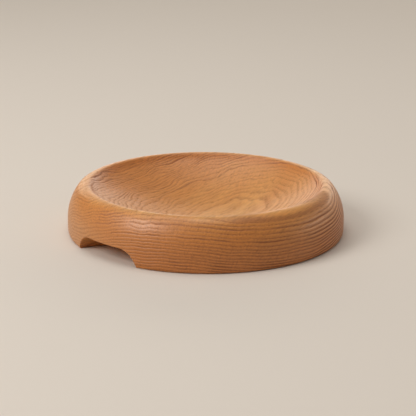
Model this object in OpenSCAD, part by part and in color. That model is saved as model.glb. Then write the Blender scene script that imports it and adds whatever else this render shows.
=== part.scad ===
/* [Plate] */
// Diameter of the plate over its widest point
plate_d = 305; // [250:1:400]
// Height of the turned wood, from its foot to the crest of the rim
wood_h = 53; // [44:0.5:66]
// Thickness of the wood under the middle of the dish
floor_t = 14; // [11:0.5:19]

/* [Outer wall] */
// Height on the wood where the tuck under the outer edge ends
tuck_h = 6; // [3:0.5:8]
// Radius of the tuck under the outer edge
tuck_r = 16; // [12:1:24]
// Height on the wood where the upright band ends and the shoulder begins
band_h = 14.5; // [10:0.5:18]
// Distance from the widest point of the plate in to the crest of the rim
shoulder_w = 22.5; // [19:0.5:28]
// Radius of the shoulder where it rolls over into the crest
crest_r = 14.5; // [10:0.5:17]

/* [Dish] */
// Radius of the lip on the dish side of the crest
lip_r = 5; // [3:0.5:9]
// Rise of the dish wall, at its steepest, for a run of 3
wall_rise = 4; // [3:0.1:5]
// Radius of the cove between the dish wall and the wide floor of the dish
cove_r = 27.5; // [20:0.5:40]

/* [Finger notches] */
// Radius of a finger notch in plan, about a centre on the edge of the plate
notch_r = 44; // [30:0.5:54]
// Height of the ceiling of a finger notch above the foot of the wood
notch_h = 17; // [13:0.5:20]
// Radius of the sweep that brings the ceiling of a finger notch down to the foot
notch_sweep_r = 22; // [18:0.5:30]

/* [Felt] */
// Thickness of the felt pad
felt_t = 2; // [1.5:0.1:3]
// How far the felt stands below the foot of the wood
felt_proud = 0.5; // [0.2:0.1:1]
// Width of bare wood between the felt recess and a finger notch
felt_land = 18; // [6:0.5:40]
// Clearance between the edge of the felt and its recess
felt_gap = 0.3; // [0.1:0.1:1]

/* [Hidden] */
$fn = 240;

// How far a cutting shape runs past the surface that it cuts
over = 5;
// How far, in degrees, one arc's sector runs on inside its neighbour's
lap = 10;

// The table is at zero. The wood stands on the felt, so its foot is a little higher.
plate_r = plate_d / 2;
foot_z = felt_proud;
crest_z = foot_z + wood_h;
crest_at = plate_r - shoulder_w;

// Tuck: an arc from the foot up to the upright band
tuck_c = [plate_r - tuck_r, foot_z + tuck_h];

// Shoulder: a large arc off the top of the band that runs smoothly into the crest arc
rise = wood_h - band_h;
side_r = (pow(shoulder_w, 2) + pow(rise, 2) - 2 * rise * crest_r) / (2 * (shoulder_w - crest_r));
side_c = [plate_r - side_r, foot_z + band_h];
crest_c = [crest_at, crest_z - crest_r];
shoulder_a = atan2(crest_c[1] - side_c[1], crest_c[0] - side_c[0]);

// Dish: the lip runs into the cove at the wall slope, and the cove into a wide shallow floor arc
wall_run = 3;
wall_slope = atan2(wall_rise, wall_run);
lip_c = [crest_at, crest_z - lip_r];
cove_c = lip_c + (lip_r + cove_r) * [-sin(wall_slope), cos(wall_slope)];
floor_z = foot_z + floor_t;
cove_lift = cove_c[1] - cove_r - floor_z;
centres = (pow(cove_c[0], 2) + pow(cove_lift, 2)) / (2 * cove_lift);
floor_r = centres + cove_r;
floor_c = [0, floor_z + floor_r];
floor_a = asin(cove_c[0] / centres);

// The straight-sided core that the arcs stand on stops halfway up the lip
core_top = crest_z - lip_r * (1 - cos(wall_slope)) / 2;

// Finger notch: the flat part of its ceiling ends where the sweep begins
notch_flat = notch_r - sqrt(pow(notch_sweep_r, 2) - pow(notch_sweep_r - notch_h, 2));

// Felt recess, as large as the finger notches leave room for
recess_r = plate_r - notch_r - felt_land;

// Part of a disc between two directions, in degrees
module sector(centre, radius, from, to) {
    mid = (from + to) / 2;
    translate(centre)
        intersection() {
            circle(r = radius);
            polygon([
                [0, 0],
                2 * radius * [cos(from), sin(from)],
                2 * radius * [cos(mid), sin(mid)],
                2 * radius * [cos(to), sin(to)]
            ]);
        }
}

// Half section of the solid turning, before the dish is hollowed out
module outer_section() {
    intersection() {
        translate([0, foot_z])
            square([plate_r + over, wood_h + over]);
        union() {
            polygon([
                [0, 0],
                [tuck_c[0] + tuck_r / 2, 0],
                [plate_r, tuck_c[1]],
                [plate_r, side_c[1]],
                crest_c + (crest_r / 2) * [cos(shoulder_a), sin(shoulder_a)],
                [crest_at, core_top],
                [0, core_top]
            ]);
            sector(tuck_c, tuck_r, -90, 0);
            sector(side_c, side_r, 0, shoulder_a);
            sector(crest_c, crest_r, shoulder_a - lap, 90);
            translate(lip_c)
                circle(r = lip_r);
        }
    }
}

// Half section of the hollow of the dish
module dish_section() {
    difference() {
        union() {
            sector(floor_c, floor_r, -90, floor_a - 90);
            sector(cove_c, cove_r, floor_a - 90 - lap, wall_slope - 90 + lap);
            polygon([cove_c, lip_c, [crest_at, cove_c[1]]]);
        }
        translate(lip_c)
            circle(r = lip_r);
    }
}

// Cutter for one finger notch, standing on the foot of the wood
module notch_cutter() {
    rotate_extrude()
        intersection() {
            translate([0, -over])
                square([notch_r + over, notch_h + 2 * over]);
            union() {
                translate([0, -over])
                    square([notch_flat, notch_h + over]);
                translate([notch_flat, notch_h - notch_sweep_r])
                    circle(r = notch_sweep_r);
            }
        }
}

// The plate, turned from one slab, with its grain along X and a notch at each end of the grain
module turned_body() {
    color("peru")
        difference() {
            rotate_extrude()
                difference() {
                    outer_section();
                    dish_section();
                }
            translate([0, 0, -over])
                cylinder(r = recess_r, h = felt_t + over);
            for (side = [-1, 1])
                translate([side * plate_r, 0, foot_z])
                    notch_cutter();
        }
}

// Felt disc glued up into its recess, which keeps the wood off the table
module felt_pad() {
    color("maroon")
        cylinder(r = recess_r - felt_gap, h = felt_t);
}

turned_body();
felt_pad();
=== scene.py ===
import logging
import math
from dataclasses import dataclass, field
from enum import Enum
from typing import NamedTuple

import bmesh
import bpy
import numpy as np
from bpy.types import Material, NodeSocket, NodeTree, Object
from mathutils import Matrix, Vector


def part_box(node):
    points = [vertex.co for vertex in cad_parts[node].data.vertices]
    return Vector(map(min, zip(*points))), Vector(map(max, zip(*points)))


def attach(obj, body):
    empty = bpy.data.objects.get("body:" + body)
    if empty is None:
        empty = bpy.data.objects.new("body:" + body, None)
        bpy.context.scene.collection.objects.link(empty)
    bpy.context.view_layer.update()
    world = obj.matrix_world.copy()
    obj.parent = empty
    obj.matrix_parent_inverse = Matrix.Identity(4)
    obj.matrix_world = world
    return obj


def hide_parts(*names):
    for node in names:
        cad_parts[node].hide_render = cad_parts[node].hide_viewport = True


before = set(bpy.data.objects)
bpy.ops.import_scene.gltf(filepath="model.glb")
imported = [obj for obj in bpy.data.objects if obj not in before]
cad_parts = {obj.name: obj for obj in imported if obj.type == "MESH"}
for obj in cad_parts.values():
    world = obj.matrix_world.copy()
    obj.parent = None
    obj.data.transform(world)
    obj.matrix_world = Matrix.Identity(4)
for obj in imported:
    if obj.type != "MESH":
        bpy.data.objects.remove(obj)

MM = 0.001
LOG = logging.getLogger("offering_plate")

# The kinds of node that come up again and again
MATH = "ShaderNodeMath"
VECTOR = "ShaderNodeVectorMath"
JOIN = "ShaderNodeCombineXYZ"
NOISE = "ShaderNodeTexNoise"
RAMP = "ShaderNodeMapRange"
MIX = "ShaderNodeMix"
SMOOTH = {"interpolation_type": "SMOOTHSTEP"}


# ---- Colour and node helpers ----

def linear(hex_colour: str) -> tuple[float, float, float, float]:
    """Turns an sRGB hex colour into a linear one.

    Args:
        hex_colour: six hex digits, with or without a leading hash.

    Returns:
        The linear red, green and blue, and an alpha of one.
    """
    digits = hex_colour.lstrip("#")
    channels = [int(digits[i:i + 2], 16) / 255 for i in (0, 2, 4)]
    return (*[c / 12.92 if c <= 0.04045 else ((c + 0.055) / 1.055) ** 2.4 for c in channels], 1.0)


def add(tree: NodeTree, kind: str, inputs: dict[int | str, object] | None = None, out: int | str = 0,
        **settings: object) -> NodeSocket | None:
    """Adds a node with its settings and links.

    Args:
        tree: the node tree that takes the node.
        kind: the node's Blender type.
        inputs: what goes into each input, by name or number: a socket to link, or a value.
        out: which of the node's outputs to give back.
        settings: the node's own properties.

    Returns:
        The chosen output, or None for a node with no outputs.
    """
    made = tree.nodes.new(kind)
    for name, value in settings.items():
        setattr(made, name, value)
    for key, value in (inputs or {}).items():
        if isinstance(value, NodeSocket):
            tree.links.new(value, made.inputs[key])
        else:
            made.inputs[key].default_value = value
    return made.outputs[out] if made.outputs else None


def blank(name: str) -> tuple[Material, NodeTree]:
    """Makes a material with an empty node tree.

    Args:
        name: the material's name.

    Returns:
        The material and its tree.
    """
    material = bpy.data.materials.new(name)
    material.use_nodes = True
    material.node_tree.nodes.clear()
    return material, material.node_tree


class Ramp(NamedTuple):
    """A ramp: the two readings that it runs between, and what it gives at each."""

    start: float
    end: float
    first: float
    last: float

    def of(self, reading: NodeSocket) -> dict[int | str, object]:
        """Gives the inputs of a Map Range node that follows this ramp."""
        return {"Value": reading, "From Min": self.start, "From Max": self.end,
                "To Min": self.first, "To Max": self.last}


class Waves(NamedTuple):
    """Soft waves in the rings: the length and width of each, and how far they swing, in mm."""

    length: float
    width: float
    swing: float


class Pores(NamedTuple):
    """A crowd of pores: the length and width of each one's cell in mm, and its share of that."""

    length: float
    width: float
    share: float


# ---- Finishes ----

@dataclass(frozen=True)
class Pith:
    """Where the middle of the tree lies under the plate: the centre of every growth ring.

    The slab was sawn flat and well out from the pith, so the rings cut the dish in long nested
    arches and wrap the rim in near-level lines. Distances are in millimetres.
    """

    turn: float = math.radians(6.5)
    tilt: float = math.radians(3.8)
    beside: float = 50.0
    below: float = 260.0

    def axes(self) -> tuple[Vector, Vector, Vector]:
        """Gives the log's own directions.

        Returns:
            The directions along the grain, across it, and up out of the pith.
        """
        along = Vector((math.cos(self.turn), math.sin(self.turn), 0.0)) * math.cos(self.tilt)
        along.z = -math.sin(self.tilt)
        across = Vector((-math.sin(self.turn), math.cos(self.turn), 0.0))
        return along, across, along.cross(across)

    def centre(self) -> Vector:
        """Gives a point on the pith."""
        return self.axes()[1] * self.beside - Vector((0.0, 0.0, self.below))


@dataclass(frozen=True)
class Spot:
    """Where the shaded point lies in the log: how far along the grain, across it and up, in mm."""

    tree: NodeTree
    pith: Pith
    along: NodeSocket
    across: NodeSocket
    out: NodeSocket

    @classmethod
    def find(cls, tree: NodeTree, pith: Pith) -> "Spot":
        """Finds the shaded point's place in the log.

        Args:
            tree: the material's node tree.
            pith: where the middle of the tree lies.

        Returns:
            The point's place.
        """
        place = add(tree, "ShaderNodeTexCoord", out="Object")
        place = add(tree, VECTOR, {0: place, "Scale": 1 / MM}, operation="SCALE")
        place = add(tree, VECTOR, {0: place, 1: pith.centre()}, operation="SUBTRACT")
        return cls(tree, pith, *[
            add(tree, VECTOR, {0: place, 1: axis}, out="Value", operation="DOT_PRODUCT")
            for axis in pith.axes()])

    def stretch(self, length: float, width: float) -> NodeSocket:
        """Gives pattern coordinates whose unit is that length along the grain and that width."""
        joined = add(self.tree, JOIN, {0: self.along, 1: self.across, 2: self.out})
        return add(self.tree, VECTOR, {0: joined, 1: (1 / length, 1 / width, 1 / width)},
                   operation="MULTIPLY")

    def noise(self, length: float, width: float) -> NodeSocket:
        """Gives soft noise about nought, with blots of that length along the grain and that width."""
        blots = add(self.tree, NOISE, {
            "Vector": self.stretch(length, width), "Scale": 1.0, "Detail": 0.0})
        return add(self.tree, MATH, {0: blots, 1: 0.5}, operation="SUBTRACT")

    def facing(self, axis: int) -> NodeSocket:
        """Tells how far the surface faces along one of the pith's axes."""
        face = add(self.tree, "ShaderNodeNewGeometry", out="Normal")
        return add(self.tree, VECTOR, {0: face, 1: self.pith.axes()[axis]}, out="Value",
                   operation="DOT_PRODUCT")

    def cut(self) -> NodeSocket:
        """Tells how squarely the surface cuts the rings.

        Returns:
            Nought where the surface follows a ring, one where it cuts straight across them.
        """
        flat = add(self.tree, JOIN, {0: self.across, 1: self.out})
        outward = add(self.tree, VECTOR, {0: flat}, operation="NORMALIZE")
        facing = add(self.tree, JOIN, {0: self.facing(1), 1: self.facing(2)})
        level = add(self.tree, VECTOR, {0: outward, 1: facing}, out="Value", operation="DOT_PRODUCT")
        square = add(self.tree, MATH, {0: level, 1: level}, operation="MULTIPLY")
        square = add(self.tree, MATH, {0: 1.0, 1: square}, operation="SUBTRACT", use_clamp=True)
        return add(self.tree, MATH, {0: square}, operation="SQRT")


@dataclass(frozen=True)
class TurnedOiledOak:
    """Red oak, turned, sanded fine and oiled, with its pores left open.

    Oak is ring-porous, so each year starts with a band of open pores, which the eye reads as a
    brown line of short dashes, and ends in smooth dense wood. Oil gives it a satin sheen.
    Lengths are in millimetres, and each pair is a length along the grain and a width.
    """

    name: str = "oak_turned_sanded_and_oiled"
    slot: str = "oiled_oak"
    pith: Pith = field(default_factory=Pith)

    # Colours, from the dense wood to the open pores
    late_wood: str = "#DEA158"
    late_wood_warm: str = "#D49048"
    # The soaked tone darkens and reddens the surfaces that cut the rings, which are the upright walls:
    # partly real oiled end grain, partly painted shade on the sides
    soaked_and_shaded: str = "#C67A39"
    # This tone paints sheen on the walls that face the key light
    sanded: str = "#CC935E"
    early_wood: str = "#955629"
    ray: str = "#8A4F24"
    pore: str = "#4E2A12"
    ray_strength: float = 0.25
    pore_strength: float = 0.32

    # Oiled dense wood and the duller open wood
    ior: float = 1.55
    roughness: float = 0.36
    open_roughness: float = 0.72

    # The rings: their spacing, how it drifts, and how each year's early wood fades and starts
    ring: float = 3.0
    drift_years: float = 1.3
    drift_span: float = 14.0
    fading: Ramp = Ramp(0.0, 0.6, 1.0, 0.0)
    starting: Ramp = Ramp(0.80, 1.0, 0.0, 1.0)

    # One lean year's dark ring: how far it lies from the pith, its edges and where it shows
    lean_year: float = 321.0
    lean_band: Ramp = Ramp(0.2, 3.0, 0.6, 0.0)
    lean_side: Ramp = Ramp(35.0, 65.0, 0.0, 1.0)

    # How the rings bend: long swells, a deep figure on the slow-grown side, and tight curl
    swells: tuple[Waves, ...] = (Waves(150.0, 75.0, 7.0), Waves(40.0, 20.0, 2.4))
    figure: Waves = Waves(34.0, 30.0, 50.0)
    ripples: tuple[Waves, ...] = (Waves(19.0, 9.0, 2.7), Waves(7.0, 5.0, 0.7))
    slow_side: Ramp = Ramp(-130.0, -60.0, 0.3, 0.0)
    curl_spots: tuple[float, float] = (70.0, 50.0)
    curl: Ramp = Ramp(-0.08, 0.14, 0.15, 1.0)

    # Where the surface stands up as a wall, and how far the curl calms there
    wall_slope: Ramp = Ramp(0.65, 0.2, 0.0, 1.0)
    wall_calm: float = 0.65

    # How strong the lines are, by luck, by place, and by how the surface cuts them
    luck: Ramp = Ramp(0.0, 1.0, 0.12, 0.74)
    patches: tuple[float, float] = (60.0, 16.0)
    patchy: Ramp = Ramp(-0.15, 0.15, 0.5, 1.2)
    soak: Ramp = Ramp(0.0, 1.0, 0.14, 1.5)
    bold_fast: Ramp = Ramp(0.0, 90.0, 0.9, 1.25)
    bold_slow: Ramp = Ramp(-20.0, -100.0, 1.0, 0.68)
    bold_root: Ramp = Ramp(10.0, -90.0, 1.0, 1.3)
    ridge_root: Ramp = Ramp(20.0, -45.0, 0.5, 1.5)
    # Painted sheen: on the slow-grown side, the walls that face the key light are painted paler and
    # greyer, with fainter rings
    painted_sheen_side: Ramp = Ramp(0.2, -0.35, 0.0, 0.62)
    # Painted sheen: the rings inside the dish on the slow-grown side are deepened to paint its banding
    inner_side: Ramp = Ramp(0.2, 0.5, 0.0, 1.0)
    inner_slow: Ramp = Ramp(-85.0, -120.0, 0.0, 0.35)

    # Pores, rays and fibres. Real pores are 0.3 mm wide, real rays no wider and real fibres far
    # finer, so all of them are drawn coarser, to show
    early_pores: Pores = Pores(11.0, 1.05, 0.46)
    late_pores: Pores = Pores(5.0, 0.62, 0.36)
    late_pore_strength: float = 0.35
    pore_core: float = 0.6
    ray_length: float = 13.0
    ray_gap: float = 0.6
    ray_depth: float = 7.0
    ray_radius: float = 290.0
    ray_edge: Ramp = Ramp(0.60, 0.70, 0.0, 1.0)
    fibres: tuple[float, float] = (45.0, 1.3)
    fibre_light: Ramp = Ramp(0.3, 0.7, 0.86, 1.12)
    clouds: tuple[float, float] = (170.0, 38.0)
    cloud_edge: Ramp = Ramp(0.35, 0.65, 0.0, 1.0)

    # Relief: pores sink, and the soft early wood sands lower than the rest
    pore_sink: float = 0.07
    line_sink: float = 0.24
    ridge_sink: float = 0.22
    fibre_rise: float = 0.03

    def build(self) -> Material:
        """Makes the material.

        Returns:
            The finished material.
        """
        material, tree = blank(self.name)
        spot = Spot.find(tree, self.pith)
        level = add(tree, MATH, {0: spot.facing(2)}, operation="ABSOLUTE")
        wall = add(tree, RAMP, self.wall_slope.of(level))
        cut = spot.cut()
        radius = self.radius(spot, wall)
        early, year_luck = self.years(tree, radius)
        ridge = self.ridge(spot, early, wall)
        painted_sheen = self.painted_sheen(spot, wall)
        line = self.line(spot, early, year_luck, cut)
        line = add(tree, MATH, {0: line, 1: ridge}, operation="MAXIMUM")
        line = self.side_to_side(spot, line, painted_sheen)
        line = add(tree, MATH, {0: line, 1: self.lean(spot, radius)}, operation="MAXIMUM")
        pores = self.pores(spot, early)
        rays = self.rays(spot, radius)
        fibre = add(tree, NOISE, {"Vector": spot.stretch(*self.fibres), "Scale": 1.0, "Detail": 3.0})
        cloud = add(tree, NOISE, {"Vector": spot.stretch(*self.clouds), "Scale": 1.0, "Detail": 2.0})
        # The walls take the soaked tone: partly real oiled end grain, partly painted shade on the
        # upright sides
        colour = self.colour(tree, fibre, (
            (add(tree, RAMP, self.cloud_edge.of(cloud)), self.late_wood_warm),
            # The sanded tone, on the walls that face the key light, is painted sheen
            (cut, self.soaked_and_shaded), (painted_sheen, self.sanded), (line, self.early_wood),
            (add(tree, MATH, {0: rays, 1: self.ray_strength}, operation="MULTIPLY"), self.ray),
            (add(tree, MATH, {0: pores, 1: self.pore_strength}, operation="MULTIPLY"), self.pore)))
        height = self.relief(tree, pores, (
            (line, -self.line_sink), (ridge, -self.ridge_sink), (fibre, self.fibre_rise)))
        normal = add(tree, "ShaderNodeBump", {"Height": height, "Distance": MM, "Strength": 1.0})
        # The open early wood stays duller than the late wood, which streaks the gloss
        open_wood = add(tree, MATH, {0: pores, 1: line}, operation="MAXIMUM")
        rough = add(tree, RAMP, Ramp(0.0, 1.0, self.roughness, self.open_roughness).of(open_wood))
        surface = add(tree, "ShaderNodeBsdfPrincipled", {
            "Base Color": colour, "Roughness": rough, "IOR": self.ior, "Normal": normal})
        add(tree, "ShaderNodeOutputMaterial", {"Surface": surface})
        return material

    def radius(self, spot: Spot, wall: NodeSocket) -> NodeSocket:
        """Gives the distance from the pith, bent as the rings are.

        Args:
            spot: the shaded point.
            wall: how nearly it lies on a steep wall.

        Returns:
            The distance, in millimetres.
        """
        tree = spot.tree
        flat = add(tree, JOIN, {0: spot.across, 1: spot.out})
        radius = add(tree, VECTOR, {0: flat}, out="Value", operation="LENGTH")
        # Years of uneven growth leave long swells
        for wave in self.swells:
            swell = spot.noise(wave.length, wave.width)
            radius = add(tree, MATH, {0: swell, 1: wave.swing, 2: radius}, operation="MULTIPLY_ADD")
        slow = add(tree, RAMP, self.slow_side.of(spot.across))
        figure = spot.noise(self.figure.length, self.figure.width)
        figure = add(tree, MATH, {0: figure, 1: slow}, operation="MULTIPLY")
        radius = add(tree, MATH, {0: figure, 1: self.figure.swing, 2: radius}, operation="MULTIPLY_ADD")
        # Curl: in places the wood ripples tightly, in others, and on the walls, it runs straighter
        place = add(tree, MATH, {0: spot.noise(*self.curl_spots), 1: slow}, operation="ADD")
        curl = add(tree, RAMP, self.curl.of(place))
        calm = add(tree, MATH, {0: wall, 1: -self.wall_calm, 2: 1.0}, operation="MULTIPLY_ADD")
        curl = add(tree, MATH, {0: curl, 1: calm}, operation="MULTIPLY")
        for wave in self.ripples:
            ripple = spot.noise(wave.length, wave.width)
            ripple = add(tree, MATH, {0: ripple, 1: curl}, operation="MULTIPLY")
            radius = add(tree, MATH, {0: ripple, 1: wave.swing, 2: radius}, operation="MULTIPLY_ADD")
        return radius

    def years(self, tree: NodeTree, radius: NodeSocket) -> tuple[NodeSocket, NodeSocket]:
        """Counts the years out from the pith.

        Args:
            tree: the material's node tree.
            radius: what radius() gave.

        Returns:
            How far each point lies in its year's early wood, and a random number for the year.
        """
        # Wet and dry years: the rings' own width drifts
        span = add(tree, MATH, {0: radius, 1: 1 / self.drift_span}, operation="MULTIPLY")
        drift = add(tree, NOISE, {"W": span, "Scale": 1.0, "Detail": 1.0}, noise_dimensions="1D")
        years = add(tree, MATH, {0: radius, 1: 1 / self.ring}, operation="MULTIPLY")
        years = add(tree, MATH, {0: drift, 1: self.drift_years, 2: years}, operation="MULTIPLY_ADD")
        phase = add(tree, MATH, {0: years}, operation="FRACT")
        year = add(tree, MATH, {0: years}, operation="FLOOR")
        luck = add(tree, "ShaderNodeTexWhiteNoise", {"W": year}, out="Value", noise_dimensions="1D")
        fade = add(tree, RAMP, self.fading.of(phase), **SMOOTH)
        start = add(tree, RAMP, self.starting.of(phase), **SMOOTH)
        return add(tree, MATH, {0: fade, 1: start}, operation="MAXIMUM"), luck

    def line(self, spot: Spot, early: NodeSocket, luck: NodeSocket, cut: NodeSocket) -> NodeSocket:
        """Draws a line for each year, strong here and faint there.

        Args:
            spot: the shaded point.
            early: how far it lies in the early wood.
            luck: its year's random number.
            cut: how squarely the surface cuts the rings.

        Returns:
            The strength of the line, from nought to one.
        """
        tree, line = spot.tree, early
        # Some years are fainter, and oil soaks deeper into a surface that cuts the rings
        patch = spot.noise(*self.patches)
        for ramp, reading in ((self.luck, luck), (self.patchy, patch), (self.soak, cut)):
            share = add(tree, RAMP, ramp.of(reading))
            line = add(tree, MATH, {0: line, 1: share}, operation="MULTIPLY")
        # They are bolder on the side that grew faster and at the end nearer the root
        for ramp, reading in ((self.bold_fast, spot.across), (self.bold_slow, spot.across),
                              (self.bold_root, spot.along)):
            bold = add(tree, RAMP, ramp.of(reading), **SMOOTH)
            line = add(tree, MATH, {0: line, 1: bold}, operation="MULTIPLY", use_clamp=True)
        return line

    def ridge(self, spot: Spot, early: NodeSocket, wall: NodeSocket) -> NodeSocket:
        """Makes every year stand out on the wall, which cuts them squarely, most of all by the root.

        Args:
            spot: the shaded point.
            early: how far it lies in the early wood.
            wall: how nearly it lies on a steep wall.

        Returns:
            The strength of the groove between two ridges, from nought to one.
        """
        root = add(spot.tree, RAMP, self.ridge_root.of(spot.along))
        ridge = add(spot.tree, MATH, {0: root, 1: wall}, operation="MULTIPLY")
        return add(spot.tree, MATH, {0: ridge, 1: early}, operation="MULTIPLY", use_clamp=True)

    def painted_sheen(self, spot: Spot, wall: NodeSocket) -> NodeSocket:
        """Tells where sheen is painted: on the slow-grown side the walls face the key light, and there
        they are painted paler and greyer, with fainter rings.
        """
        painted_sheen = add(spot.tree, RAMP, self.painted_sheen_side.of(spot.facing(1)))
        return add(spot.tree, MATH, {0: painted_sheen, 1: wall}, operation="MULTIPLY")

    def side_to_side(self, spot: Spot, line: NodeSocket, painted_sheen: NodeSocket) -> NodeSocket:
        """Fades the lines on the walls where sheen is painted, and deepens them inside the dish behind
        it, which paints the sheen's banding there.

        Args:
            spot: the shaded point.
            line: the lines' strength so far.
            painted_sheen: what faint() gave.

        Returns:
            The lines' new strength.
        """
        tree = spot.tree
        left = add(tree, MATH, {0: 1.0, 1: painted_sheen}, operation="SUBTRACT")
        line = add(tree, MATH, {0: line, 1: left}, operation="MULTIPLY")
        # The real ring lines deepen inside the dish on the slow-grown side, which paints the sheen's
        # banding there
        inside = add(tree, RAMP, self.inner_side.of(spot.facing(1)))
        slow = add(tree, RAMP, self.inner_slow.of(spot.across))
        deeper = add(tree, MATH, {0: inside, 1: slow, 2: 1.0}, operation="MULTIPLY_ADD")
        return add(tree, MATH, {0: line, 1: deeper}, operation="MULTIPLY", use_clamp=True)

    def lean(self, spot: Spot, radius: NodeSocket) -> NodeSocket:
        """Darkens one lean year's ring, which shows as a crescent where the crest only grazes it.

        Args:
            spot: the shaded point.
            radius: what radius() gave.

        Returns:
            The ring's strength.
        """
        tree = spot.tree
        off = add(tree, MATH, {0: radius, 1: self.lean_year}, operation="SUBTRACT")
        off = add(tree, MATH, {0: off}, operation="ABSOLUTE")
        band = add(tree, RAMP, self.lean_band.of(off), **SMOOTH)
        near = add(tree, RAMP, self.lean_side.of(spot.across))
        return add(tree, MATH, {0: band, 1: near}, operation="MULTIPLY")

    def pores(self, spot: Spot, early: NodeSocket) -> NodeSocket:
        """Opens the pores: crowded in the early wood, few and fine in the late wood.

        Args:
            spot: the shaded point.
            early: how far it lies in the early wood.

        Returns:
            How far the point lies in a pore.
        """
        tree, shares = spot.tree, []
        for crowd in (self.early_pores, self.late_pores):
            cell = add(tree, "ShaderNodeTexVoronoi", {
                "Vector": spot.stretch(crowd.length, crowd.width), "Scale": 1.0}, out="Distance")
            edge = Ramp(crowd.share * self.pore_core, crowd.share, 1.0, 0.0)
            shares.append(add(tree, RAMP, edge.of(cell), **SMOOTH))
        coarse = add(tree, MATH, {0: shares[0], 1: early}, operation="MULTIPLY")
        fine = add(tree, MATH, {0: shares[1], 1: self.late_pore_strength}, operation="MULTIPLY")
        return add(tree, MATH, {0: coarse, 1: fine}, operation="MAXIMUM")

    def rays(self, spot: Spot, radius: NodeSocket) -> NodeSocket:
        """Stands the rays on edge: thin sheets of cells that run from the pith to the bark.

        Args:
            spot: the shaded point.
            radius: what radius() gave.

        Returns:
            How far the point lies in a ray.
        """
        tree = spot.tree
        angle = add(tree, MATH, {0: spot.across, 1: spot.out}, operation="ARCTAN2")
        # The plate lies about ray_radius from the pith, so this is in steps of ray_gap
        round_tree = add(tree, MATH, {0: angle, 1: self.ray_radius / self.ray_gap}, operation="MULTIPLY")
        length = add(tree, MATH, {0: spot.along, 1: 1 / self.ray_length}, operation="MULTIPLY")
        deep = add(tree, MATH, {0: radius, 1: 1 / self.ray_depth}, operation="MULTIPLY")
        place = add(tree, JOIN, {0: length, 1: round_tree, 2: deep})
        noise = add(tree, NOISE, {"Vector": place, "Scale": 1.0, "Detail": 0.0})
        return add(tree, RAMP, self.ray_edge.of(noise), **SMOOTH)

    def colour(self, tree: NodeTree, fibre: NodeSocket,
               layers: tuple[tuple[NodeSocket, str], ...]) -> NodeSocket:
        """Colours the wood, from its late wood up to its pores.

        Args:
            tree: the material's node tree.
            fibre: the fine streaks.
            layers: each layer's share at the point, and its colour.

        Returns:
            The base colour.
        """
        base = linear(self.late_wood)
        for share, tint in layers:
            base = add(tree, MIX, {0: share, 6: base, 7: linear(tint)}, out=2, data_type="RGBA")
        streak = add(tree, RAMP, self.fibre_light.of(fibre))
        return add(tree, VECTOR, {0: base, "Scale": streak}, operation="SCALE")

    def relief(self, tree: NodeTree, pores: NodeSocket,
               layers: tuple[tuple[NodeSocket, float], ...]) -> NodeSocket:
        """Gives the surface's height.

        Args:
            tree: the material's node tree.
            pores: how far the point lies in a pore.
            layers: each other layer's strength at the point, and the rise at full strength.

        Returns:
            The height, in millimetres.
        """
        height = add(tree, MATH, {0: pores, 1: -self.pore_sink}, operation="MULTIPLY")
        for share, rise in layers:
            height = add(tree, MATH, {0: share, 1: rise, 2: height}, operation="MULTIPLY_ADD")
        return height


@dataclass(frozen=True)
class PressedWoolFelt:
    """Wool felt, pressed and dyed: matt, with matted fibres that catch the light.

    Lengths are in millimetres.
    """

    name: str = "wool_felt_pressed"
    slot: str = "wool_felt"
    wool: str = "#5E1620"
    tips: str = "#7E2A34"
    tip_share: Ramp = Ramp(0.1, 0.45, 0.0, 1.0)

    # Real fibres are 0.03 mm thick. They are drawn as 0.8 mm tufts, to show
    fibre: float = 0.8
    matting: float = 1.5
    cloud: float = 22.0
    pile: float = 0.4
    pile_strength: float = 0.8
    roughness: float = 0.95
    sheen: float = 0.5
    sheen_roughness: float = 0.5

    def build(self) -> Material:
        """Makes the material.

        Returns:
            The finished material.
        """
        material, tree = blank(self.name)
        place = add(tree, "ShaderNodeTexCoord", out="Object")
        mat = add(tree, NOISE, {
            "Vector": place, "Scale": 1 / (self.fibre * MM), "Detail": 4.0, "Distortion": self.matting})
        cloud = add(tree, NOISE, {"Vector": place, "Scale": 1 / (self.cloud * MM), "Detail": 2.0})
        share = add(tree, MATH, {0: mat, 1: cloud}, operation="MULTIPLY")
        share = add(tree, RAMP, self.tip_share.of(share))
        colour = add(tree, MIX, {0: share, 6: linear(self.wool), 7: linear(self.tips)},
                     out=2, data_type="RGBA")
        normal = add(tree, "ShaderNodeBump", {
            "Height": mat, "Distance": self.pile * MM, "Strength": self.pile_strength})
        surface = add(tree, "ShaderNodeBsdfPrincipled", {
            "Base Color": colour, "Roughness": self.roughness, "Sheen Weight": self.sheen,
            "Sheen Roughness": self.sheen_roughness, "Normal": normal})
        add(tree, "ShaderNodeOutputMaterial", {"Surface": surface})
        return material


@dataclass(frozen=True)
class StudioPaper:
    """A matt pale sweep of background paper, with a faint tooth. Lengths are in millimetres."""

    name: str = "background_paper_matt"
    tint: str = "#D9CEC1"

    # Real tooth is a tenth of this. It is drawn coarser, to show
    tooth: float = 2.5
    tooth_rise: float = 0.15
    tooth_strength: float = 0.6
    roughness: float = 0.9

    def build(self) -> Material:
        """Makes the material.

        Returns:
            The finished material.
        """
        material, tree = blank(self.name)
        place = add(tree, "ShaderNodeTexCoord", out="Object")
        tooth = add(tree, NOISE, {"Vector": place, "Scale": 1 / (self.tooth * MM), "Detail": 3.0})
        normal = add(tree, "ShaderNodeBump", {
            "Height": tooth, "Distance": self.tooth_rise * MM, "Strength": self.tooth_strength})
        surface = add(tree, "ShaderNodeBsdfPrincipled", {
            "Base Color": linear(self.tint), "Roughness": self.roughness, "Normal": normal})
        add(tree, "ShaderNodeOutputMaterial", {"Surface": surface})
        return material


# ---- Mesh helpers ----

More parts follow.
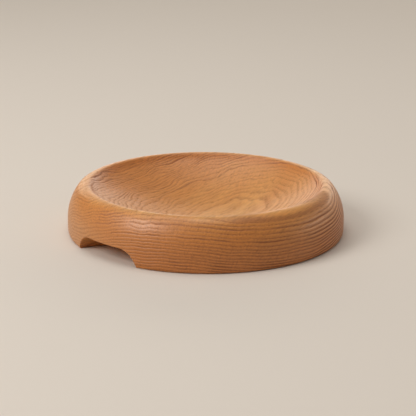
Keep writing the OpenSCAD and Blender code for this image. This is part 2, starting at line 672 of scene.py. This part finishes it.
def arc(centre: tuple[float, float], radius: float, start: float, end: float, steps: int) -> np.ndarray:
    """Gives points on an arc, from one direction to another, in radians."""
    turn = np.linspace(start, end, steps + 1)
    return np.stack([centre[0] + radius * np.cos(turn), centre[1] + radius * np.sin(turn)], axis=1)


def length_of(line: np.ndarray) -> float:
    """Gives a line's length."""
    return float(np.linalg.norm(np.diff(line, axis=0), axis=1).sum())


def resample(line: np.ndarray, places: np.ndarray) -> np.ndarray:
    """Gives the points at the given distances along a line.

    Args:
        line: the line's points, one row each.
        places: the distances from its start.

    Returns:
        The points there, one row each.
    """
    steps = np.linalg.norm(np.diff(line, axis=0), axis=1)
    run = np.concatenate([[0.0], np.cumsum(steps)])
    return np.stack([np.interp(places, run, line[:, k]) for k in range(line.shape[1])], axis=1)


def evenly(line: np.ndarray, count: int) -> np.ndarray:
    """Divides a line into a number of equal stretches."""
    return resample(line, np.linspace(0.0, length_of(line), count + 1))


def stand(reach: np.ndarray, height: np.ndarray, turn: float) -> np.ndarray:
    """Stands a half section up in one direction, in radians."""
    return np.stack([reach * math.cos(turn), reach * math.sin(turn), height], axis=1)


def mesh_object(name: str, points: np.ndarray, faces: list[tuple[int, ...]]) -> Object:
    """Makes a smooth-shaded mesh object from points in millimetres.

    Args:
        name: the piece's name.
        points: the vertices, one row each.
        faces: the faces, as vertex numbers.

    Returns:
        The object, linked into the scene.
    """
    mesh = bpy.data.meshes.new(name)
    mesh.from_pydata((points * MM).tolist(), [], faces)
    mesh.validate()
    mesh.shade_smooth()
    made = bpy.data.objects.new(name, mesh)
    bpy.context.scene.collection.objects.link(made)
    return made


def loft(name: str, columns: list[np.ndarray], ends: tuple[float, float]) -> Object:
    """Joins a ring of columns into a skin and closes it on the axis.

    Args:
        name: the piece's name.
        columns: each column's points, in millimetres.
        ends: how high the skin meets the axis, before the first rows and after the last ones.

    Returns:
        The object, linked into the scene.
    """
    rows, cols = len(columns[0]), len(columns)
    middle = rows * cols
    faces = []
    for i in range(cols):
        a, b = i * rows, ((i + 1) % cols) * rows
        faces.append((middle, b, a))
        faces += [(a + k, b + k, b + k + 1, a + k + 1) for k in range(rows - 1)]
        faces.append((a + rows - 1, b + rows - 1, middle + 1))
    cloud = np.concatenate([*columns, [[0.0, 0.0, end] for end in ends]])
    return mesh_object(name, cloud, faces)


# ---- The plate ----

class Station(NamedTuple):
    """A column of the body's mesh: its direction at the recess, where its foot ends, where its
    outer wall starts, and whether a notch lies between the two.
    """

    turn: float
    foot: np.ndarray
    wall: np.ndarray
    notched: bool


@dataclass
class TurnedBody:
    """The wooden plate: one turning, with a finger notch scooped from each end of the grain.

    Sizes are in millimetres. The mesh is a ring of columns. Each column runs from the middle of
    the underside out along the foot, through a notch where there is one, up the outer wall,
    over the rim and down to the middle of the dish.
    """

    # The outer wall, from the foot up
    tuck_h: float = 6.0
    tuck_r: float = 16.0
    band_h: float = 14.5
    shoulder_w: float = 22.5
    side_r: float = 54.5

    # The rim and the dish
    crest_r: float = 14.5
    lip_r: float = 5.0
    cove_r: float = 27.5
    cove_at: float = 104.0
    floor_r: float = 248.5
    floor_t: float = 14.0

    # The notches and the felt recess
    notch_r: float = 44.0
    notch_h: float = 17.0
    notch_sweep_r: float = 22.0
    recess_r: float = 90.5
    recess_arris: float = 0.4

    # The sanded arris round the foot, which dies away near a notch's corners
    arris: float = 0.9
    arris_fade: float = 4.0
    arris_most: float = 0.45

    # The mesh: its spacing, how far its columns fan out under a notch, and where it joins
    grid: float = 1.25
    above_notch: float = 24.0
    fan: float = math.radians(7.5)
    corner_gap: float = 1e-6
    weld: float = 0.01
    sliver: float = 0.001

    # Rows in each stretch of a column
    sole_rows: int = 34
    bend_rows: int = 4
    hollow_rows: int = 30
    side_rows: int = 22
    hub_shares: tuple[float, float] = (0.02, 0.5)

    # Points in each line that a stretch is measured along
    notch_side_points: int = 120
    notch_ceiling_points: int = 60
    notch_foot_steps: int = 300
    notch_path_points: int = 240
    notch_path_crowding: float = 1.6
    side_points: int = 80

    finish: TurnedOiledOak = field(default_factory=TurnedOiledOak)

    def __post_init__(self) -> None:
        """Takes the outer sizes from the frame."""
        low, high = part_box("turned_body")
        self.radius = high.y / MM
        self.foot = low.z / MM
        self.height = (high.z - low.z) / MM
        self.recess_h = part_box("felt_pad")[1].z / MM - self.foot
        self.crest_at = self.radius - self.shoulder_w
        self.notch_flat = self.notch_r - math.sqrt(
            self.notch_sweep_r ** 2 - (self.notch_sweep_r - self.notch_h) ** 2)

    def wall_radius(self, height: np.ndarray) -> np.ndarray:
        """Gives the outer wall's radius, up to the crest arc.

        Args:
            height: the heights above the foot.

        Returns:
            The radius at each.
        """
        tuck = self.radius - self.tuck_r + np.sqrt(
            self.tuck_r ** 2 - np.minimum(height - self.tuck_h, 0.0) ** 2)
        lean = np.maximum(height - self.band_h, 0.0)
        return tuck - self.side_r + np.sqrt(self.side_r ** 2 - lean ** 2)

    def notch_edge(self) -> np.ndarray:
        """Gives the edge of the notch on the outer wall.

        Returns:
            Its points, from foot to foot.
        """
        height = self.notch_h * np.sin(np.linspace(0.0, math.pi / 2, self.notch_side_points))
        drop = height - (self.notch_h - self.notch_sweep_r)
        reach = self.notch_flat + np.sqrt(np.maximum(self.notch_sweep_r ** 2 - drop ** 2, 0.0))
        wall = self.wall_radius(height)
        x = (wall ** 2 - reach ** 2 + self.radius ** 2) / (2 * self.radius)
        y = np.sqrt(wall ** 2 - x ** 2)
        side = np.stack([x, y, height], axis=1)
        half = math.atan2(y[-1], x[-1])
        turn = np.linspace(half, -half, self.notch_ceiling_points)[1:-1]
        ceiling = np.stack([wall[-1] * np.cos(turn), wall[-1] * np.sin(turn),
                            np.full_like(turn, self.notch_h)], axis=1)
        return np.concatenate([side, ceiling, side[::-1] * (1, -1, 1)])

    def notch_foot(self, corner: np.ndarray) -> np.ndarray:
        """Gives the edge of the notch on the foot.

        Args:
            corner: the corner where it starts.

        Returns:
            Its points, from one corner to the other.
        """
        start = math.atan2(corner[1], corner[0] - self.radius)
        flat = arc((self.radius, 0.0), self.notch_r, start, 2 * math.pi - start, self.notch_foot_steps)
        return np.concatenate([flat, np.zeros((len(flat), 1))], axis=1)

    def notch_path(self, inner: np.ndarray, outer: np.ndarray) -> np.ndarray:
        """Gives a line over the notch's surface.

        Args:
            inner: the point on its foot edge where the line starts.
            outer: the point on its wall edge where the line ends.

        Returns:
            The line's points.
        """
        share = np.linspace(0.0, 1.0, self.notch_path_points)[:, None] ** self.notch_path_crowding
        flat = inner[None, :2] * (1 - share) + outer[None, :2] * share
        reach = np.hypot(flat[:, 0] - self.radius, flat[:, 1])
        drop = np.maximum(reach - self.notch_flat, 0.0)
        z = self.notch_h - self.notch_sweep_r + np.sqrt(
            np.maximum(self.notch_sweep_r ** 2 - drop ** 2, 0.0))
        z[0], z[-1] = inner[2], outer[2]
        return np.concatenate([flat, z[:, None]], axis=1)

    def upper_section(self) -> np.ndarray:
        """Gives the half section from above the notch, over the rim, to the middle of the dish.

        Returns:
            Its points, each a distance from the axis and a height above the foot.
        """
        side = (self.radius - self.side_r, self.band_h)
        crest = (self.crest_at, self.height - self.crest_r)
        meet = math.atan2(crest[1] - side[1], crest[0] - side[0])
        first = math.asin((self.above_notch - self.band_h) / self.side_r)
        lip = (self.crest_at, self.height - self.lip_r)
        wall = math.acos((self.crest_at - self.cove_at) / (self.lip_r + self.cove_r))
        cove = (self.cove_at, lip[1] + (self.lip_r + self.cove_r) * math.sin(wall))
        bottom = (0.0, self.floor_t + self.floor_r)
        join = math.atan2(cove[1] - bottom[1], cove[0] - bottom[0])
        # Each arc, and its spacing as a share of the grid: the lip is drawn finest
        parts = (
            (arc(side, self.side_r, first, meet, 60), 1.0),
            (arc(crest, self.crest_r, meet, math.pi / 2, 30), 0.8),
            (arc(lip, self.lip_r, math.pi / 2, math.pi - wall, 20), 0.5),
            (arc(cove, self.cove_r, -wall, join, 40), 0.8),
            (arc(bottom, self.floor_r, join, -math.pi / 2, 120), 1.6),
        )
        rows = [evenly(line, max(3, round(length_of(line) / (self.grid * share))))
                for line, share in parts]
        return np.concatenate([rows[0]] + [r[1:] for r in rows[1:]])

    def stations(self) -> list[Station]:
        """Sets out the columns round the plate.

        Each notch bulges a little past the line from its corner to the plate's axis, so the
        columns fan out on the underside to stay clear of it.

        Returns:
            Where each column stands.
        """
        edge = self.notch_edge()
        count = round(length_of(edge) / self.grid)
        edge = evenly(edge, count)
        foot = evenly(self.notch_foot(edge[0]), count)
        foot[0], foot[-1] = edge[0], edge[-1]
        corner = math.atan2(edge[0][1], edge[0][0])
        rim = float(self.wall_radius(np.zeros(1))[0])
        between = round((math.pi - 2 * corner) * rim / self.grid)
        half = []
        squeeze = 1.0 - self.fan / (math.pi / 2 - corner)
        for turn in np.linspace(math.pi - corner, corner, between + 1)[1:-1]:
            point = np.array([rim * math.cos(turn), rim * math.sin(turn), 0.0])
            half.append(Station(math.pi / 2 + (turn - math.pi / 2) * squeeze, point, point, False))
        spread = np.linspace(corner + self.fan, -corner - self.fan, count + 1)
        half += [Station(turn, f, e, True) for turn, f, e in zip(spread, foot, edge)]
        spin = np.array([-1.0, -1.0, 1.0])
        return half + [Station(s.turn + math.pi, s.foot * spin, s.wall * spin, s.notched) for s in half]

    def recess(self, turn: float) -> np.ndarray:
        """Gives one column's rows in the felt recess.

        Args:
            turn: the column's direction, in radians.

        Returns:
            The rows' points, out over its ceiling and down its wall, with the foot at zero.
        """
        ring = self.recess_r * np.array([math.cos(turn), math.sin(turn)])
        top, soft = self.recess_h, self.recess_arris
        shares = (*self.hub_shares, 1 - soft / self.recess_r, 1.0, 1.0)
        heights = (top, top, top, top - soft, soft)
        return np.array([[*ring * share, z] for share, z in zip(shares, heights)])

    def hollow(self, station: Station) -> np.ndarray:
        """Gives a column's line through its notch.

        Args:
            station: where the column stands.

        Returns:
            The line's points. With no notch, they all fall on the foot's edge.
        """
        if not station.notched:
            return np.stack([station.foot, station.foot])
        spin = -1.0 if station.foot[0] < 0 else 1.0
        flip = np.array([spin, spin, 1.0])
        return self.notch_path(station.foot * flip, station.wall * flip) * flip

    def side(self, wall: np.ndarray) -> np.ndarray:
        """Gives a column's line up the outer wall to just above the notch.

        Args:
            wall: the point where the line starts.

        Returns:
            The line's points.
        """
        z = np.linspace(wall[2], self.above_notch, self.side_points)
        r = self.wall_radius(z)
        r[0] = math.hypot(wall[0], wall[1])
        return stand(r, z, math.atan2(wall[1], wall[0]))

    def column(self, station: Station, ease: float) -> np.ndarray:
        """Gives one column's rows from the felt recess to just above the notch.

        Args:
            station: where the column stands.
            ease: how far the sanded arris reaches from the corner here.

        Returns:
            The rows' points, in millimetres, with the foot at zero.
        """
        turn, foot, wall, notched = station
        inner = np.array([self.recess_r * math.cos(turn), self.recess_r * math.sin(turn), 0.0])
        sole = np.stack([inner, foot])
        hollow, side = self.hollow(station), self.side(wall)
        span = length_of(hollow)
        near = min(ease, self.arris_most * span) if notched else ease
        under = resample(sole, np.linspace(0.0, length_of(sole) - near, self.sole_rows))
        above = resample(side, np.linspace(near, length_of(side), self.side_rows))
        if notched:
            over = resample(hollow, np.linspace(near, span - near, self.hollow_rows))
            between = [self.bend(under[-1], foot, over[0], self.bend_rows), over,
                       self.bend(over[-1], wall, above[0], self.bend_rows)]
        else:
            # One bend rounds the whole edge, and the notch's rows all fall on its middle
            half = self.bend_rows
            bend = self.bend(under[-1], foot, above[0], 2 * half + 1)
            middle = np.repeat(bend[half:half + 1], self.hollow_rows, axis=0)
            between = [bend[:half], middle, bend[half + 1:]]
        return np.concatenate([under, *between, above])

    @staticmethod
    def bend(start: np.ndarray, corner: np.ndarray, end: np.ndarray, count: int) -> np.ndarray:
        """Rounds a corner with a curve, and gives that many points between its ends."""
        share = np.linspace(0.0, 1.0, count + 2)[1:-1, None]
        return (1 - share) ** 2 * start + 2 * share * (1 - share) * corner + share ** 2 * end

    def build(self) -> Object:
        """Builds the mesh and dresses it.

        Returns:
            The wooden plate.
        """
        upper = self.upper_section()[1:-1]
        stations = self.stations()
        corners = [i for i, s in enumerate(stations)
                   if s.notched and np.allclose(s.foot, s.wall, atol=self.corner_gap)]
        columns = []
        for i, station in enumerate(stations):
            away = min(min(abs(i - c), len(stations) - abs(i - c)) for c in corners) * self.grid
            ease = self.arris * min(1.0, away / self.arris_fade)
            top = stand(upper[:, 0], upper[:, 1], math.atan2(station.wall[1], station.wall[0]))
            column = np.concatenate([self.recess(station.turn), self.column(station, ease), top])
            columns.append(column + (0.0, 0.0, self.foot))
        made = loft("plate_turned_oak", columns, (self.recess_h + self.foot, self.floor_t + self.foot))
        self.clean(made)
        made.data.materials.append(self.finish.build())
        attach(made, "root")
        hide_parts("turned_body")
        return made

    def clean(self, made: Object) -> None:
        """Merges the rows that fall on one point and faces the whole skin outwards.

        Args:
            made: the object to clean.
        """
        work = bmesh.new()
        work.from_mesh(made.data)
        bmesh.ops.remove_doubles(work, verts=work.verts, dist=self.weld * MM)
        bmesh.ops.dissolve_degenerate(work, edges=work.edges, dist=self.sliver * MM)
        bmesh.ops.recalc_face_normals(work, faces=work.faces)
        work.to_mesh(made.data)
        work.free()
        made.data.shade_smooth()


@dataclass
class FeltPad:
    """The felt disc glued up into the recess, cut by hand, so its edge is soft.

    Sizes are in millimetres.
    """

    edge: float = 0.5
    edge_steps: int = 5
    hub: float = 3.0
    margin: float = 2.0
    rings: int = 36
    columns: int = 240
    finish: PressedWoolFelt = field(default_factory=PressedWoolFelt)

    def __post_init__(self) -> None:
        """Takes the outer sizes from the frame."""
        low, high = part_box("felt_pad")
        self.radius = high.x / MM
        self.low, self.high = low.z / MM, high.z / MM

    def build(self) -> Object:
        """Builds the disc and dresses it.

        Returns:
            The felt pad.
        """
        reach = np.linspace(self.hub, self.radius - self.margin, self.rings)
        soft = arc((self.radius - self.edge, self.low + self.edge), self.edge, -math.pi / 2, 0.0,
                   self.edge_steps)
        section = np.concatenate([
            np.stack([reach, np.full(self.rings, self.low)], axis=1),
            soft, [[self.radius, self.high], [self.radius / 2, self.high]]])
        turns = np.linspace(0.0, 2 * math.pi, self.columns, endpoint=False)
        columns = [stand(section[:, 0], section[:, 1], turn) for turn in turns]
        made = loft("pad_pressed_felt", columns, (self.low, self.high))
        made.data.materials.append(self.finish.build())
        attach(made, "root")
        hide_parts("felt_pad")
        return made


# ---- The studio ----

class Side(Enum):
    """Where a light stands, as seen from the camera: to the right, towards the camera, and up."""

    KEY = (-0.690, 0.385, 0.616)
    OVERHEAD = (-0.15, -0.10, 0.98)
    BEHIND = (0.15, -0.95, 0.24)
    RIGHT = (0.97, -0.15, 0.16)


class Glow(Enum):
    """The colour of a light: bare, or shone through cream cloth."""

    BARE = "#FFFFFF"
    CLOTH = "#FFF6E8"


@dataclass(frozen=True)
class SoftLight:
    """A soft rectangular light: its place, its distance and size in metres, its watts and colour."""

    side: Side
    far: float
    width: float
    tall: float
    power: float
    glow: Glow = Glow.BARE


@dataclass
class Studio:
    """The pale sweep, the soft lights and the camera.

    Lengths are in metres, and the lens's and the sensor's in millimetres.
    """

    camera_turn: float = math.radians(44.1)
    camera_up: float = math.radians(17.87)
    camera_far: float = 1.289
    camera_roll: float = math.radians(0.29)
    lens: float = 100.0
    sensor: float = 36.0
    clip: tuple[float, float] = (0.05, 50.0)
    aim_up: float = 0.0226
    aim_right: float = 0.0024

    # The sweep: a flat floor, a bend behind it and an upright back
    sweep_reach: float = 8.0
    sweep_half: float = 9.0
    sweep_top: float = 4.0
    bend_r: float = 1.2
    bend_steps: int = 24
    paper: StudioPaper = field(default_factory=StudioPaper)

    lights: tuple[SoftLight, ...] = (
        SoftLight(Side.KEY, 2.8, 1.25, 1.25, 40.5),
        SoftLight(Side.OVERHEAD, 3.0, 2.6, 2.6, 40.0),
        SoftLight(Side.BEHIND, 6.0, 10.0, 2.2, 158.0, Glow.CLOTH),
        SoftLight(Side.RIGHT, 3.2, 2.0, 0.8, 13.0, Glow.CLOTH),
    )
    room: str = "#FFFDFA"
    room_strength: float = 0.2

    def towards(self, right: float, near: float, up: float) -> Vector:
        """Turns a direction given from the camera's side into the plate's frame.

        Args:
            right: how far it goes to the camera's right.
            near: how far it comes towards the camera.
            up: how far it rises.

        Returns:
            The direction in the plate's frame.
        """
        near_axis = Vector((math.cos(self.camera_turn), math.sin(self.camera_turn), 0.0))
        right_axis = Vector((-near_axis.y, near_axis.x, 0.0))
        return right_axis * right + near_axis * near + Vector((0.0, 0.0, up))

    def camera(self) -> None:
        """Aims the camera at the plate from a little above its foot."""
        data = bpy.data.cameras.new("camera")
        data.lens = self.lens
        data.sensor_width = self.sensor
        data.clip_start, data.clip_end = self.clip
        cam = bpy.data.objects.new("camera", data)
        bpy.context.scene.collection.objects.link(cam)
        foot = Vector((0.0, 0.0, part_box("turned_body")[0].z))
        near, up = math.cos(self.camera_up), math.sin(self.camera_up)
        place = foot + self.camera_far * self.towards(0.0, near, up)
        aim = self.towards(self.aim_right, 0.0, self.aim_up)
        turn = (aim - place).to_track_quat("-Z", "Y").to_matrix().to_4x4()
        cam.matrix_world = Matrix.Translation(place) @ turn @ Matrix.Rotation(self.camera_roll, 4, "Z")
        bpy.context.scene.camera = cam

    def floor(self) -> None:
        """Lays the sweep: a floor that curves up far behind the plate."""
        reach, bend_r = self.sweep_reach, self.bend_r
        bend = arc((-reach, bend_r), bend_r, -math.pi / 2, -math.pi, self.bend_steps)
        section = np.concatenate([
            [(reach, 0.0), (-reach, 0.0)], bend[1:], [(-reach - bend_r, self.sweep_top)]])
        corners = [self.towards(right, near, up)
                   for near, up in section for right in (-self.sweep_half, self.sweep_half)]
        faces = [(2 * k, 2 * k + 1, 2 * k + 3, 2 * k + 2) for k in range(len(section) - 1)]
        sweep = mesh_object("sweep", np.array([list(c) for c in corners]) / MM, faces)
        if sweep.data.polygons[0].normal.z < 0:
            sweep.data.flip_normals()
        sweep.data.materials.append(self.paper.build())

    def light(self, soft: SoftLight) -> None:
        """Hangs a light.

        Args:
            soft: what it is and where it stands.
        """
        name = soft.side.name.lower()
        data = bpy.data.lights.new(name, "AREA")
        data.shape = "RECTANGLE"
        data.size, data.size_y = soft.width, soft.tall
        data.energy = soft.power
        data.color = linear(soft.glow.value)[:3]
        lamp = bpy.data.objects.new(name, data)
        bpy.context.scene.collection.objects.link(lamp)
        away = self.towards(*soft.side.value).normalized()
        lamp.location = away * soft.far
        lamp.rotation_mode = "QUATERNION"
        lamp.rotation_quaternion = away.to_track_quat("Z", "Y")
        lamp.visible_camera = False

    def air(self) -> None:
        """Fills the room with faint even light and sets plain tones."""
        world = bpy.data.worlds.new("soft_room")
        bpy.context.scene.world = world
        world.use_nodes = True
        world.node_tree.nodes.clear()
        room = add(world.node_tree, "ShaderNodeBackground", {
            "Color": linear(self.room), "Strength": self.room_strength})
        add(world.node_tree, "ShaderNodeOutputWorld", {"Surface": room})
        bpy.context.scene.view_settings.view_transform = "Standard"

    def build(self) -> None:
        """Sets up the studio."""
        self.camera()
        self.floor()
        for soft in self.lights:
            self.light(soft)
        self.air()


def main() -> None:
    """Builds every piece and the studio."""
    logging.basicConfig(level=logging.INFO, format="%(name)s: %(message)s")
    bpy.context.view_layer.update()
    Studio().build()
    for maker in (TurnedBody(), FeltPad()):
        made = maker.build()
        LOG.info("%s: %d faces", made.name, len(made.data.polygons))


if __name__ == "__main__":
    main()
